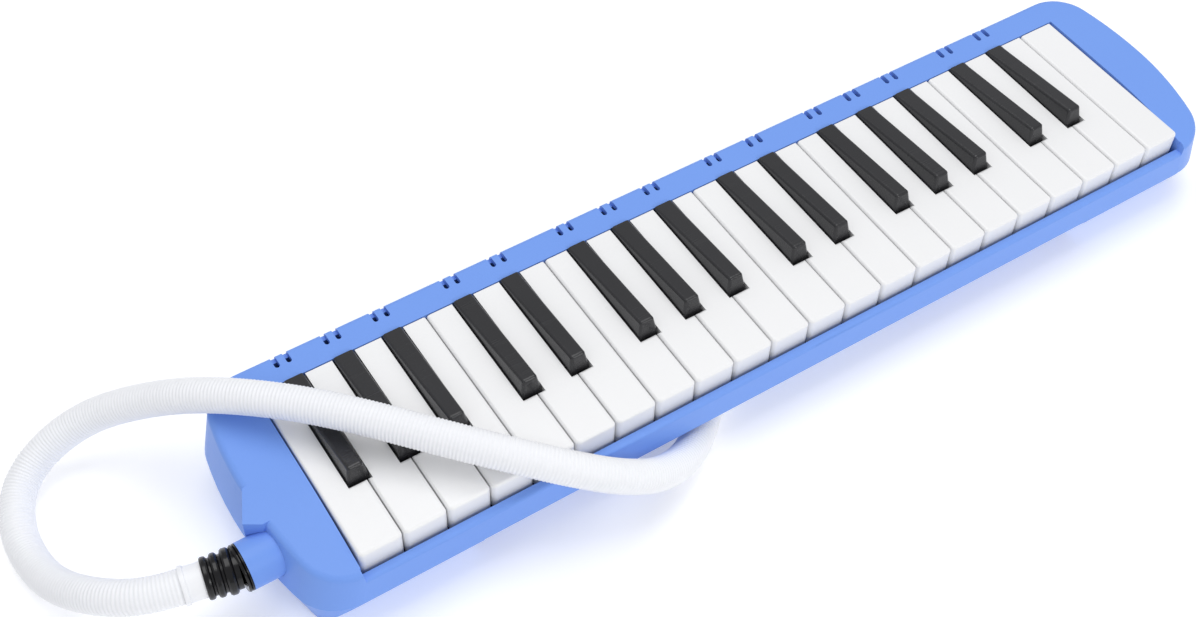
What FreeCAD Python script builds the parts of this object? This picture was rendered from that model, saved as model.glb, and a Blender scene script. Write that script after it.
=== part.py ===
import FreeCAD, Part
import math
import os
from FreeCAD import Vector

os.makedirs("parts", exist_ok=True)

# Melodica with 37 see-saw keys, a blowing hose and its rubber connector.
# Millimetres. The origin is on the flat base, under the middle of the keyboard.
# +X runs to the high notes, +Y away from the player, +Z up.

# Keyboard
KEY_PITCH = 18.0
WHITE_COUNT = 22
KEY_GAP = 0.5
WHITE_LENGTH = 81.6
WHITE_CORNER = 2.0
WHITE_EDGE = 1.3
WHITE_SKIRT = 14.0
SKIRT_LENGTH = 26.0
SHELL_DEPTH = 5.5
KEY_WALL = 1.4
KEY_ROOF = 1.9
BLACK_WIDTH = 8.5
BLACK_LENGTH = 52.7
BLACK_RISE = 7.1
BLACK_REAR_RISE = 1.2
BLACK_DRAFT = 0.17
BLACK_FRONT_SLOPE = 1.2
BLACK_EDGE = 1.3
BLACK_GAP = 0.6
BLACK_FRONT_GAP = 1.2
KEY_TOP = 41.0

# Notes of one octave from F: True is a black key, with its shift from the joint below it
OCTAVE = [("F", 0, 0.0), ("F#", 1, -3.0), ("G", 0, 0.0), ("G#", 1, 0.0), ("A", 0, 0.0),
          ("A#", 1, 3.0), ("B", 0, 0.0), ("C", 0, 0.0), ("C#", 1, -1.7), ("D", 0, 0.0),
          ("D#", 1, 1.6), ("E", 0, 0.0)]

# Key action
AXLE_D = 3.0
AXLE_PLAY = 0.05
AXLE_BACK = 15.6
AXLE_DROP = 10.0
BOSS_WIDTH = 5.0
BOSS_DEPTH = 8.0
WEB = 2.4
WEB_DROP = 12.0
ARM_WIDTH = 4.6
ARM_HEIGHT = 4.0
PAD_SIZE = 7.0
PAD_HEIGHT = 3.0
SPRING_SHEET = 0.4
SPRING_WIDTH = 3.4
FELT_HEIGHT = 3.2
GUIDE_THICK = 3.0
GUIDE_PLAY = 0.4

# Case
CASE_DEPTH = 101.0
CHEEK = 22.4
END_RADIUS = 170.0
END_CENTRE_Y = 6.5
FRONT_CORNER = 19.5
REAR_CORNER = 18.0
END_DRAFT = 5.0
CASE_WALL = 2.2
CASE_ROOF = 2.5
TOP_ROUND = 2.6
RIM_WIDTH = 3.4
RIM_DROP = 9.0
RIM_ROUND = 1.3
RIM_FLARE = 1.0
CHEEK_SLOPE_START_Y = -0.5
CHEEK_SLOPE_DROP = 5.0
WINDOW_PLAY = 0.6
WINDOW_REAR_PLAY = 0.6
UPPER_HEIGHT = 22.5
PARTING_STEP = 0.4
DECK = 2.5
RECESS_HALF = 150.0
KEEL_FRONT_Y = -8.0
FOOT_INSET = 1.5
FOOT_DRAFT = 3.5
FOOT_FRONT_INSET = 10.5
SLOT_WIDTH = 2.1
SLOT_SPACING = 5.0
SLOT_LENGTH = 5.6
SLOT_SPREAD = 1.005
SLOT_SHIFT = 0.9

# Wind way
SOCKET_Y = -19.5
SOCKET_RISE = 8.8
SOCKET_R = 9.3
SOCKET_BORE_R = 6.4
SOCKET_REACH = 11.3
SOCKET_PLAY = 0.1
MANIFOLD_WALL = 1.8
STUB_R = 4.0
STUB_BORE_R = 3.0
CHAMBER_END_GAP = 1.5
CHAMBER_FRONT_Y = -2.0
CHAMBER_DEPTH = 44.0
TUB_WALL = 1.8
GASKET = 1.0
BLOCK_HEIGHT = 9.0
CELL_WIDTH = 6.6
CELL_DEPTH = 6.8
CELL_REAR_Y = 39.5
REED_LOW = 36.0
REED_HIGH = 19.0
REED_WIDTH_LOW = 3.4
REED_WIDTH_HIGH = 2.2
REED_THICK = 0.25
REED_SIDE = 0.15
PLATE_THICK = 1.2
PLATE_PLAY = 0.4
HOLE_LENGTH = 3.4
HOLE_WIDTH = 4.2
SEAT_HEIGHT = 1.0

# Fasteners
CASE_SCREW_R = 1.4
CASE_SCREW_HEAD_R = 2.7
CASE_SCREW_HEAD = 1.8
CASE_SCREW_LENGTH = 12.0
SMALL_SCREW_R = 1.0
SMALL_SCREW_HEAD_R = 1.9
SMALL_SCREW_HEAD = 1.2
SMALL_SCREW_LENGTH = 6.0

# Water release valve
DRAIN_Y = 20.0
DRAIN_Z = 8.0
DRAIN_TRAVEL = 2.5
DRAIN_CAP_R = 4.5
DRAIN_STEM_R = 1.5
DRAIN_PROUD = 3.2

# Hose and its ends
HOSE_D = 13.6
HOSE_WALL = 0.9
NECK_TURN_DEG = 11.0
NECK_BASE = 2.2
NECK_LENGTH = 14.5
CUFF_LENGTH = 8.0
CUFF_SPIGOT = 7.0
MOUTHPIECE_LENGTH = 50.0

# The hose leaves its cuff straight, loops beside the case, crosses the keys, drops over the
# front rim and ends at the mouthpiece under the case
HOSE_START = 13.0
HOSE_ROUTE = [
    (-280.5, -1.5, 23.5), (-291.0, 15.5, 15.0), (-295.0, 34.5, 7.6), (-294.5, 53.0, 7.0),
    (-287.0, 69.0, 8.2), (-272.5, 76.5, 13.5), (-254.0, 74.0, 23.5), (-236.5, 61.5, 35.5),
    (-219.5, 45.0, 47.2), (-203.0, 28.0, 53.6), (-186.5, 11.5, 56.0), (-169.5, -7.0, 56.4),
    (-152.5, -25.5, 55.0), (-134.5, -42.5, 51.6), (-116.0, -55.5, 44.0), (-97.0, -62.5, 31.8),
    (-77.5, -61.5, 17.0), (-57.5, -52.5, 7.2), (-42.5, -39.0, 7.0), (-28.0, -27.5, 7.0),
    (-12.0, -23.5, 7.0), (3.0, -23.5, 7.0),
]

# Places that follow from the sizes above
KEYBOARD_HALF = WHITE_COUNT * KEY_PITCH / 2
KEY_FRONT_Y = -CASE_DEPTH / 2 + RIM_WIDTH + 1.6
KEY_REAR_Y = KEY_FRONT_Y + WHITE_LENGTH
AXLE_Y = KEY_REAR_Y - AXLE_BACK
AXLE_Z = KEY_TOP - AXLE_DROP
AXLE_HOLE_R = AXLE_D / 2 + AXLE_PLAY
ARM_BOTTOM = AXLE_Z - 3.0
TUB_TOP_Z = ARM_BOTTOM - PAD_HEIGHT - SEAT_HEIGHT - BLOCK_HEIGHT - GASKET
PAD_Y = CELL_REAR_Y - 1.5
ARM_REAR_Y = PAD_Y + PAD_SIZE / 2 + 1.5
BLOCK_BOTTOM = TUB_TOP_Z + GASKET
BLOCK_TOP = BLOCK_BOTTOM + BLOCK_HEIGHT
WINDOW_HALF = KEYBOARD_HALF + WINDOW_PLAY
WINDOW_FRONT_Y = -CASE_DEPTH / 2 + RIM_WIDTH
WINDOW_REAR_Y = KEY_REAR_Y + WINDOW_REAR_PLAY
INNER_WALL_X = WINDOW_HALF + CASE_WALL
TOP_HALF = KEYBOARD_HALF + CHEEK
SOCKET_FACE = TOP_HALF + SOCKET_REACH
CHAMBER_HALF = KEYBOARD_HALF - CHAMBER_END_GAP
PARTING_Z = KEY_TOP - UPPER_HEIGHT
DECK_Z = PARTING_Z - DECK
SOCKET_Z = PARTING_Z + SOCKET_RISE
LOW_HALF = TOP_HALF + END_DRAFT
RIM_TOP = KEY_TOP - RIM_DROP
CHEEK_RUN = CHEEK_SLOPE_START_Y + CASE_DEPTH / 2
CHEEK_RADIUS = (CHEEK_RUN ** 2 + CHEEK_SLOPE_DROP ** 2) / (2 * CHEEK_SLOPE_DROP)
CHAMBER_REAR_Y = CHAMBER_FRONT_Y + CHAMBER_DEPTH
HOSE_R = HOSE_D / 2


def box(x0, x1, y0, y1, z0, z1):
    return Part.makeBox(x1 - x0, y1 - y0, z1 - z0, Vector(x0, y0, z0))


def cylinder(radius, start, end):
    axis = Vector(*end) - Vector(*start)
    return Part.makeCylinder(radius, axis.Length, Vector(*start), axis)


def prism_x(profile, x0, x1):
    """A profile of (y, z) points, extruded along X."""
    points = [Vector(x0, y, z) for y, z in profile]
    face = Part.Face(Part.makePolygon(points + points[:1]))
    return face.extrude(Vector(x1 - x0, 0, 0))


def prism_y(profile, y0, y1):
    """A profile of (x, z) points, extruded along Y."""
    points = [Vector(x, y0, z) for x, z in profile]
    face = Part.Face(Part.makePolygon(points + points[:1]))
    return face.extrude(Vector(0, y1 - y0, 0))


def prism_z(profile, z0, z1):
    """A profile of (x, y) points, extruded along Z."""
    points = [Vector(x, y, z0) for x, y in profile]
    face = Part.Face(Part.makePolygon(points + points[:1]))
    return face.extrude(Vector(0, 0, z1 - z0))


def fuse(first, others):
    return first.fuse(others).removeSplitter()


def export(name, shape):
    shape.exportStep(f"parts/{name}.step")
    print(f"{name}: {len(shape.Solids)} solid(s), {shape.Volume:.0f} mm3, valid {shape.isValid()}")


def key_table():
    """Every key as (name, is_black, left, right, centre) in X, from low to high."""
    keys = []
    whites = blacks = 0
    while whites < WHITE_COUNT:
        for note, is_black, shift in OCTAVE:
            joint = -KEYBOARD_HALF + whites * KEY_PITCH
            if is_black:
                blacks += 1
                keys.append([f"black_key_{blacks:02d}", True, joint + shift - BLACK_WIDTH / 2,
                             joint + shift + BLACK_WIDTH / 2])
            elif whites < WHITE_COUNT:
                whites += 1
                keys.append([f"white_key_{whites:02d}", False, joint + KEY_GAP / 2,
                             joint + KEY_PITCH - KEY_GAP / 2])
            if whites == WHITE_COUNT:
                break
    for i, key in enumerate(keys):
        left, right = key[2], key[3]
        if not key[1]:
            if i > 0 and keys[i - 1][1]:
                left = keys[i - 1][3] + BLACK_GAP
            if i + 1 < len(keys) and keys[i + 1][1]:
                right = keys[i + 1][2] - BLACK_GAP
        key += [left, right, (left + right) / 2]
    return keys


KEYS = key_table()
WHITES = [key for key in KEYS if not key[1]]
BLACKS = [key for key in KEYS if key[1]]


def action_solids(centre, top, rib_front_y):
    """The rib, axle boss and rear arm that every key has under its top."""
    rib = box(centre - WEB / 2, centre + WEB / 2, rib_front_y, AXLE_Y, KEY_TOP - WEB_DROP, top)
    boss = box(centre - BOSS_WIDTH / 2, centre + BOSS_WIDTH / 2, AXLE_Y - BOSS_DEPTH / 2,
               AXLE_Y + BOSS_DEPTH / 2, ARM_BOTTOM, top)
    arm = box(centre - ARM_WIDTH / 2, centre + ARM_WIDTH / 2, AXLE_Y, ARM_REAR_Y,
              ARM_BOTTOM, ARM_BOTTOM + ARM_HEIGHT)
    return [rib, boss, arm]


def axle_hole():
    reach = INNER_WALL_X + 10
    return cylinder(AXLE_HOLE_R, (-reach, AXLE_Y, AXLE_Z), (reach, AXLE_Y, AXLE_Z))


def pad(centre):
    return box(centre - PAD_SIZE / 2, centre + PAD_SIZE / 2, PAD_Y - PAD_SIZE / 2,
               PAD_Y + PAD_SIZE / 2, ARM_BOTTOM - PAD_HEIGHT, ARM_BOTTOM)


def white_key(key, hole):
    """A hollow white key: a wide front with a deep skirt, and a tail beside the black keys."""
    name, is_black, left, right, tail_left, tail_right, centre = key
    notch_y = KEY_REAR_Y - BLACK_LENGTH - BLACK_FRONT_GAP
    outline = [(left, KEY_FRONT_Y), (right, KEY_FRONT_Y), (right, notch_y),
               (tail_right, notch_y), (tail_right, KEY_REAR_Y), (tail_left, KEY_REAR_Y),
               (tail_left, notch_y), (left, notch_y)]
    points = [p for i, p in enumerate(outline) if p != outline[i - 1]]
    body = prism_z(points, KEY_TOP - SHELL_DEPTH, KEY_TOP)
    skirt = box(left, right, KEY_FRONT_Y, KEY_FRONT_Y + SKIRT_LENGTH, KEY_TOP - WHITE_SKIRT,
                KEY_TOP - SHELL_DEPTH)
    body = fuse(body, [skirt])
    front_corners = [e for e in body.Edges if is_front_corner(e)]
    body = body.makeFillet(WHITE_CORNER, front_corners)
    top_edges = [e for e in body.Edges if e.BoundBox.ZMin > KEY_TOP - 0.01
                 and e.BoundBox.YMax < notch_y + 0.01]
    body = body.makeFillet(WHITE_EDGE, top_edges)
    front_pocket = box(left + KEY_WALL, right - KEY_WALL, KEY_FRONT_Y + KEY_WALL,
                       KEY_FRONT_Y + SKIRT_LENGTH - KEY_WALL, KEY_TOP - WHITE_SKIRT - 1,
                       KEY_TOP - KEY_ROOF)
    tail_pocket = box(tail_left + KEY_WALL, tail_right - KEY_WALL,
                      KEY_FRONT_Y + SKIRT_LENGTH, KEY_REAR_Y - KEY_WALL,
                      KEY_TOP - SHELL_DEPTH - 1, KEY_TOP - KEY_ROOF)
    body = body.cut([front_pocket, tail_pocket])
    body = fuse(body, action_solids(centre, KEY_TOP - KEY_ROOF, KEY_FRONT_Y + KEY_WALL / 2))
    return Part.Compound([body.cut(hole).Solids[0], pad(centre)])


def is_front_corner(edge):
    bounds = edge.BoundBox
    return bounds.YMax < KEY_FRONT_Y + 0.01 and bounds.XLength < 0.01 and bounds.ZLength > 1


def black_key(key, hole):
    """A hollow black key: its top falls towards the rear, and its sides lean in."""
    name, is_black, left, right, tail_left, tail_right, centre = key
    front_y = KEY_REAR_Y - BLACK_LENGTH
    base = KEY_TOP - SHELL_DEPTH
    side = [(front_y, base), (front_y, KEY_TOP),
            (front_y + BLACK_FRONT_SLOPE, KEY_TOP + BLACK_RISE),
            (KEY_REAR_Y, KEY_TOP + BLACK_REAR_RISE), (KEY_REAR_Y, base)]
    body = prism_x(side, left, right)
    lean = BLACK_DRAFT * 12
    for edge_x, way in ((left, 1), (right, -1)):
        slab = [(edge_x, KEY_TOP), (edge_x + way * lean, KEY_TOP + 12),
                (edge_x - way, KEY_TOP + 12), (edge_x - way, KEY_TOP)]
        body = body.cut(prism_y(slab, front_y - 1, KEY_REAR_Y + 1))
    edges = [e for e in body.Edges if is_black_top_edge(e, front_y)]
    body = body.makeFillet(BLACK_EDGE, edges)
    pocket = box(left + KEY_WALL, right - KEY_WALL, front_y + KEY_WALL, KEY_REAR_Y - KEY_WALL,
                 base - 1, KEY_TOP - 0.6)
    body = body.cut(pocket)
    body = fuse(body, action_solids(centre, KEY_TOP - 0.3, front_y + KEY_WALL / 2))
    return Part.Compound([body.cut(hole).Solids[0], pad(centre)])


def is_black_top_edge(edge, front_y):
    bounds = edge.BoundBox
    middle = edge.CenterOfMass
    rises = bounds.ZLength > 1 and bounds.YLength < BLACK_FRONT_SLOPE + 0.5
    at_front = rises and middle.y < front_y + 2 and middle.z > KEY_TOP
    on_top = bounds.ZMax > KEY_TOP + BLACK_RISE - 0.01 and middle.z > KEY_TOP + 2
    return at_front or on_top


def outline(half, z, inset):
    """The case's plan outline as a closed wire: bulged ends, rounded corners."""
    front = -CASE_DEPTH / 2 + inset
    rear = CASE_DEPTH / 2 - inset
    radius = END_RADIUS - inset
    end_x = half - END_RADIUS
    bulge = half - inset

    def corner(r, y_centre, way):
        offset = y_centre - END_CENTRE_Y
        x_centre = end_x + math.sqrt((radius - r) ** 2 - offset ** 2)
        unit = Vector(x_centre - end_x, offset, 0).normalize()
        tangent = Vector(end_x, END_CENTRE_Y, 0) + unit * radius
        bisector = (unit + Vector(0, way, 0)).normalize()
        return x_centre, tangent, Vector(x_centre, y_centre, 0) + bisector * r

    front_x, front_t, front_m = corner(FRONT_CORNER - inset, front + FRONT_CORNER - inset, -1)
    rear_x, rear_t, rear_m = corner(REAR_CORNER - inset, rear - REAR_CORNER + inset, 1)

    def at(x, y):
        return Vector(x, y, z)

    edges = []
    for way in (1, -1):
        run = [(way * front_x, front), (way * front_m.x, front_m.y), (way * front_t.x, front_t.y),
               (way * bulge, END_CENTRE_Y), (way * rear_t.x, rear_t.y),
               (way * rear_m.x, rear_m.y), (way * rear_x, rear)]
        if way < 0:
            run.reverse()
        for i in (0, 2, 4):
            edges.append(Part.Arc(at(*run[i]), at(*run[i + 1]), at(*run[i + 2])).toShape())
        if way > 0:
            edges.append(Part.LineSegment(at(rear_x, rear), at(-rear_x, rear)).toShape())
    edges.append(Part.LineSegment(at(-front_x, front), at(front_x, front)).toShape())
    return Part.Wire(Part.__sortEdges__(edges))


def loft(low_half, low_z, low_inset, high_half, high_z, high_inset):
    wires = [outline(low_half, low_z, low_inset), outline(high_half, high_z, high_inset)]
    return Part.makeLoft(wires, True, True)


def slope_cutter(drop):
    """What lies above the cheeks' tops, which curve down towards the player."""
    reach = LOW_HALF + 20
    top = KEY_TOP - drop
    bar = cylinder(CHEEK_RADIUS, (-reach - 1, CHEEK_SLOPE_START_Y, top - CHEEK_RADIUS),
                   (reach + 1, CHEEK_SLOPE_START_Y, top - CHEEK_RADIUS))
    slab = box(-reach, reach, -CASE_DEPTH / 2 - 10, CHEEK_SLOPE_START_Y,
               top - 2 * CHEEK_SLOPE_DROP, KEY_TOP + 30)
    return slab.cut(bar)


def cheek_top(y):
    """The height of the cheeks' tops at y."""
    run = max(0, CHEEK_SLOPE_START_Y - y)
    return KEY_TOP - CHEEK_RADIUS + math.sqrt(CHEEK_RADIUS ** 2 - run ** 2)


SCREW_X_END = INNER_WALL_X + 2.6
CASE_SCREWS = [(-SCREW_X_END, -35.0), (SCREW_X_END, -35.0), (-SCREW_X_END, 37.0),
               (SCREW_X_END, 37.0)]
CASE_SCREWS += [(-KEYBOARD_HALF + n * KEY_PITCH, CASE_DEPTH / 2 - CASE_WALL - 2.2)
                for n in (4, 11, 18)]
CASE_SCREW_SEAT = PARTING_Z - 6.5


def socket_hole():
    return cylinder(SOCKET_R + SOCKET_PLAY, (-SOCKET_FACE - 5, SOCKET_Y, SOCKET_Z),
                    (-INNER_WALL_X - 8, SOCKET_Y, SOCKET_Z))


def upper_case():
    """The blue top shell: two cheeks, the slotted rear strip and the low front rim."""
    body = loft(LOW_HALF, PARTING_Z, 0, TOP_HALF, KEY_TOP, 0)
    fairing = prism_z([(-TOP_HALF + 4, 2.5), (-TOP_HALF, 1.8), (-LOW_HALF - 1.2, -11.7),
                       (-TOP_HALF - 0.2, -15.3), (-TOP_HALF + 8, -15.3)], PARTING_Z + 4, KEY_TOP)
    body = body.cut(slope_cutter(0))
    top_edges = [e for e in body.Edges if e.CenterOfMass.z > RIM_TOP
                 and e.BoundBox.ZMin > KEY_TOP - CHEEK_SLOPE_DROP - 0.01 and is_rim_edge(e)]
    body = body.makeFillet(TOP_ROUND, top_edges)
    body = body.fuse(fairing.cut(slope_cutter(0))).removeSplitter()
    rim = prism_y([(-WINDOW_HALF, RIM_TOP), (WINDOW_HALF, RIM_TOP),
                   (WINDOW_HALF + RIM_FLARE, KEY_TOP + 2), (-WINDOW_HALF - RIM_FLARE, KEY_TOP + 2)],
                  -CASE_DEPTH, WINDOW_FRONT_Y)
    body = body.cut(rim)
    rim_edges = [e for e in body.Edges if abs(e.CenterOfMass.y + CASE_DEPTH / 2) < 0.1
                 and abs(e.CenterOfMass.z - RIM_TOP) < 0.1]
    body = body.makeFillet(RIM_ROUND, rim_edges)
    window = box(-WINDOW_HALF, WINDOW_HALF, WINDOW_FRONT_Y, WINDOW_REAR_Y, 0, KEY_TOP + 5)
    bay = box(-WINDOW_HALF, WINDOW_HALF, WINDOW_FRONT_Y, CASE_DEPTH / 2 - CASE_WALL,
              PARTING_Z - 1, KEY_TOP - CASE_ROOF)
    inner = loft(LOW_HALF, PARTING_Z - 0.5, CASE_WALL, TOP_HALF, KEY_TOP - CASE_ROOF,
                 CASE_WALL + 0.4).cut(slope_cutter(CASE_ROOF))
    middle = box(-INNER_WALL_X, INNER_WALL_X, -CASE_DEPTH, CASE_DEPTH, 0, KEY_TOP + 5)
    body = body.cut([window, bay, inner.cut(middle)])
    posts = []
    for x, y in CASE_SCREWS:
        roof = cheek_top(y) - CASE_ROOF + 1.0
        radius = 3.2 if abs(x) > INNER_WALL_X else 2.6
        posts.append(cylinder(radius, (x, y, PARTING_Z), (x, y, roof)))
    body = fuse(body, posts)
    pilots = [cylinder(CASE_SCREW_R, (x, y, PARTING_Z - 1), (x, y, PARTING_Z + 9.5))
              for x, y in CASE_SCREWS]
    body = body.cut(pilots + [axle_hole(), socket_hole()])
    return body.cut(slots())


def is_rim_edge(edge):
    """True for an edge on the outline of the case's top, not across it."""
    bounds = edge.BoundBox
    return not (bounds.XLength > 2 * KEYBOARD_HALF and abs(edge.CenterOfMass.y) < CASE_DEPTH / 4)


def slots():
    """A pair of round-ended sound slots behind every black key, open at the rear edge."""
    cutters = []
    front = CASE_DEPTH / 2 - SLOT_LENGTH
    low = KEY_TOP - CASE_ROOF - 0.3
    for key in BLACKS:
        for way in (-1, 1):
            x = key[6] * SLOT_SPREAD + SLOT_SHIFT + way * SLOT_SPACING / 2
            cutters.append(box(x - SLOT_WIDTH / 2, x + SLOT_WIDTH / 2, front,
                               CASE_DEPTH / 2 + 1, low, KEY_TOP + 1))
            cutters.append(cylinder(SLOT_WIDTH / 2, (x, front, low), (x, front, KEY_TOP + 1)))
    return cutters


def foot_front(setback):
    """What lies in front of the end feet, whose front faces slope back out of sight."""
    front = -CASE_DEPTH / 2 + setback
    low = front + FOOT_FRONT_INSET
    profile = [(-CASE_DEPTH, -2.0), (low + 1.2, -2.0), (low, 0), (front + 1.0, DECK_Z),
               (-CASE_DEPTH, DECK_Z)]
    return prism_x(profile, -LOW_HALF - 5, LOW_HALF + 5)


def lower_case():
    """The bottom shell: a deck over the hand recess, end feet and the rear keel."""
    flange = loft(LOW_HALF, DECK_Z, PARTING_STEP + 0.9, LOW_HALF, PARTING_Z, PARTING_STEP)
    foot = loft(LOW_HALF, 0, FOOT_INSET + FOOT_DRAFT, LOW_HALF, DECK_Z, FOOT_INSET)
    recess = box(-RECESS_HALF, RECESS_HALF, -CASE_DEPTH, KEEL_FRONT_Y, -1, DECK_Z)
    body = fuse(flange, [foot.cut([recess, foot_front(0)])])
    inner = loft(LOW_HALF, CASE_WALL, FOOT_INSET + FOOT_DRAFT + CASE_WALL, LOW_HALF,
                 PARTING_Z + 1, FOOT_INSET + CASE_WALL).cut(foot_front(CASE_WALL + 0.5))
    kept = box(-RECESS_HALF - CASE_WALL, RECESS_HALF + CASE_WALL, -CASE_DEPTH,
               KEEL_FRONT_Y + CASE_WALL, -1, PARTING_Z + 2)
    ledges = [box(-WINDOW_HALF, WINDOW_HALF, y0, y1, DECK_Z, PARTING_Z + 2)
              for y0, y1 in ((-CASE_DEPTH, KEY_FRONT_Y + 12), (GUIDE_Y - 3, GUIDE_Y + 6))]
    body = body.cut(inner.cut([kept] + ledges))
    columns = [cylinder(4.0 if abs(x) > INNER_WALL_X else 3.4, (x, y, 0), (x, y, PARTING_Z))
               for x, y in CASE_SCREWS]
    body = fuse(body, [c.common(loft(LOW_HALF, 0, FOOT_INSET + FOOT_DRAFT, LOW_HALF,
                                     PARTING_Z, PARTING_STEP)) for c in columns])
    drills = []
    for x, y in CASE_SCREWS:
        drills.append(cylinder(CASE_SCREW_R + 0.1, (x, y, -1), (x, y, PARTING_Z + 1)))
        drills.append(cylinder(CASE_SCREW_HEAD_R + 0.2, (x, y, -1), (x, y, CASE_SCREW_SEAT)))
    drain = cylinder(DRAIN_CAP_R + 0.3, (CHAMBER_HALF + 8, DRAIN_Y, DRAIN_Z),
                     (LOW_HALF + 5, DRAIN_Y, DRAIN_Z))
    return body.cut(drills + [socket_hole(), drain])


GUIDE_Y = KEY_REAR_Y - BLACK_LENGTH + 4.0


def key_guide_comb():
    """A comb on the deck: every key's rib slides in its own slot."""
    comb = box(-WINDOW_HALF + 0.4, WINDOW_HALF - 0.4, GUIDE_Y, GUIDE_Y + GUIDE_THICK,
               PARTING_Z, KEY_TOP - 9.0)
    foot = box(-WINDOW_HALF + 0.4, WINDOW_HALF - 0.4, GUIDE_Y - 1.5, GUIDE_Y + GUIDE_THICK + 1.5,
               PARTING_Z, PARTING_Z + 1.6)
    gap = WEB / 2 + GUIDE_PLAY
    cuts = [box(key[6] - gap, key[6] + gap, GUIDE_Y - 1, GUIDE_Y + GUIDE_THICK + 1,
                PARTING_Z + 5.0, KEY_TOP) for key in KEYS]
    return fuse(comb, [foot]).cut(cuts)


def key_stop_felt():
    return box(-WINDOW_HALF + 0.6, WINDOW_HALF - 0.6, KEY_FRONT_Y + 1.5, KEY_FRONT_Y + 10,
               PARTING_Z, PARTING_Z + FELT_HEIGHT)


def key_springs():
    """One sheet-metal comb under the rear strip: a finger presses on each key's arm."""
    roof = KEY_TOP - CASE_ROOF
    knee_y = KEY_REAR_Y + 3.6
    knee_z = ARM_BOTTOM + ARM_HEIGHT + 2.3
    tip_y = AXLE_Y + 10.5
    tip_z = ARM_BOTTOM + ARM_HEIGHT
    base = box(-WINDOW_HALF + 3, WINDOW_HALF - 3, knee_y, knee_y + 3.2, roof - SPRING_SHEET, roof)
    fingers = []
    for key in KEYS:
        x0 = key[6] - SPRING_WIDTH / 2
        drop = box(x0, x0 + SPRING_WIDTH, knee_y, knee_y + SPRING_SHEET, knee_z, roof)
        blade = [(knee_y + SPRING_SHEET, knee_z), (knee_y + SPRING_SHEET, knee_z + SPRING_SHEET),
                 (tip_y, tip_z + SPRING_SHEET), (tip_y, tip_z)]
        fingers += [drop, prism_x(blade, x0, x0 + SPRING_WIDTH)]
    return fuse(base, fingers)


def reed_sizes(i):
    """Slot length and width of reed i, from the long low reeds to the short high ones."""
    share = i / (len(KEYS) - 1)
    length = REED_LOW + (REED_HIGH - REED_LOW) * share
    width = REED_WIDTH_LOW + (REED_WIDTH_HIGH - REED_WIDTH_LOW) * share
    return length - 5.0, width


def lug_places():
    xs = [(-1 + 2 * n / 3) * (CHAMBER_HALF - 14) for n in range(4)]
    return [(x, y) for x in xs for y in (CHAMBER_FRONT_Y, CHAMBER_REAR_Y)]


def lugs(z0, z1):
    return [cylinder(2.3, (x, y, z0), (x, y, z1)) for x, y in lug_places()]


def lug_holes(z0, z1):
    return [cylinder(SMALL_SCREW_R + 0.05, (x, y, z0), (x, y, z1)) for x, y in lug_places()]


def axle_post_places():
    """The gaps beside B and C and beside E and F, where no black key stands."""
    spots = []
    for low, high in zip(KEYS[:-1], KEYS[1:]):
        if not low[1] and not high[1]:
            spots.append((low[6] + high[6]) / 2)
    return spots


def reed_block():
    """The comb block: a wind cell and a valve hole for every key, and the axle posts."""
    body = box(-CHAMBER_HALF, CHAMBER_HALF, CHAMBER_FRONT_Y, CHAMBER_REAR_Y, BLOCK_BOTTOM,
               BLOCK_TOP)
    shelf = box(-CHAMBER_HALF - 1, CHAMBER_HALF + 1, CHAMBER_FRONT_Y - 1, CHAMBER_REAR_Y + 1,
                BLOCK_BOTTOM + 2.0, BLOCK_TOP + 1)
    raised = box(-CHAMBER_HALF, CHAMBER_HALF, CHAMBER_FRONT_Y + 3.6, CHAMBER_REAR_Y - 1.8,
                 BLOCK_BOTTOM, BLOCK_TOP)
    body = fuse(body.cut(shelf), [raised] + lugs(BLOCK_BOTTOM, BLOCK_BOTTOM + 2.0))
    extras = []
    cuts = lug_holes(BLOCK_BOTTOM - 1, BLOCK_BOTTOM + 3)
    cuts += [cylinder(3.0, (x, y, BLOCK_BOTTOM + 2.0), (x, y, BLOCK_TOP + 1))
             for x, y in lug_places()]
    for i, key in enumerate(KEYS):
        x = key[6]
        length = reed_sizes(i)[0] + 5.0
        extras.append(box(x - PAD_SIZE / 2, x + PAD_SIZE / 2, PAD_Y - 3.0, PAD_Y + 3.0, BLOCK_TOP,
                          BLOCK_TOP + SEAT_HEIGHT))
        cuts.append(box(x - CELL_WIDTH / 2, x + CELL_WIDTH / 2, CELL_REAR_Y - length, CELL_REAR_Y,
                        BLOCK_BOTTOM - 1, BLOCK_BOTTOM + CELL_DEPTH))
        cuts.append(box(x - HOLE_WIDTH / 2, x + HOLE_WIDTH / 2, PAD_Y - HOLE_LENGTH / 2,
                        PAD_Y + HOLE_LENGTH / 2 - 0.3, BLOCK_BOTTOM, BLOCK_TOP + 2))
    for x in axle_post_places():
        extras.append(box(x - 1.2, x + 1.2, AXLE_Y - 5, AXLE_Y + 5, BLOCK_TOP - 1, AXLE_Z + 3))
    cuts += [cylinder(SMALL_SCREW_R, (x, y, BLOCK_BOTTOM - 1), (x, y, BLOCK_BOTTOM + 5))
             for x, y in plate_screw_places()]
    return fuse(body, extras).cut(cuts + [axle_hole()])


def plate_screw_places():
    """Between reeds 1-2, 10-11, 18-19, 20-21, 28-29 and 36-37, near the plates' two edges."""
    places = []
    for i in (0, 9, 17, 19, 27, 35):
        x = (KEYS[i][6] + KEYS[i + 1][6]) / 2
        places += [(x, CELL_REAR_Y - REED_HIGH + 6), (x, CELL_REAR_Y - 4)]
    return places


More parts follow.
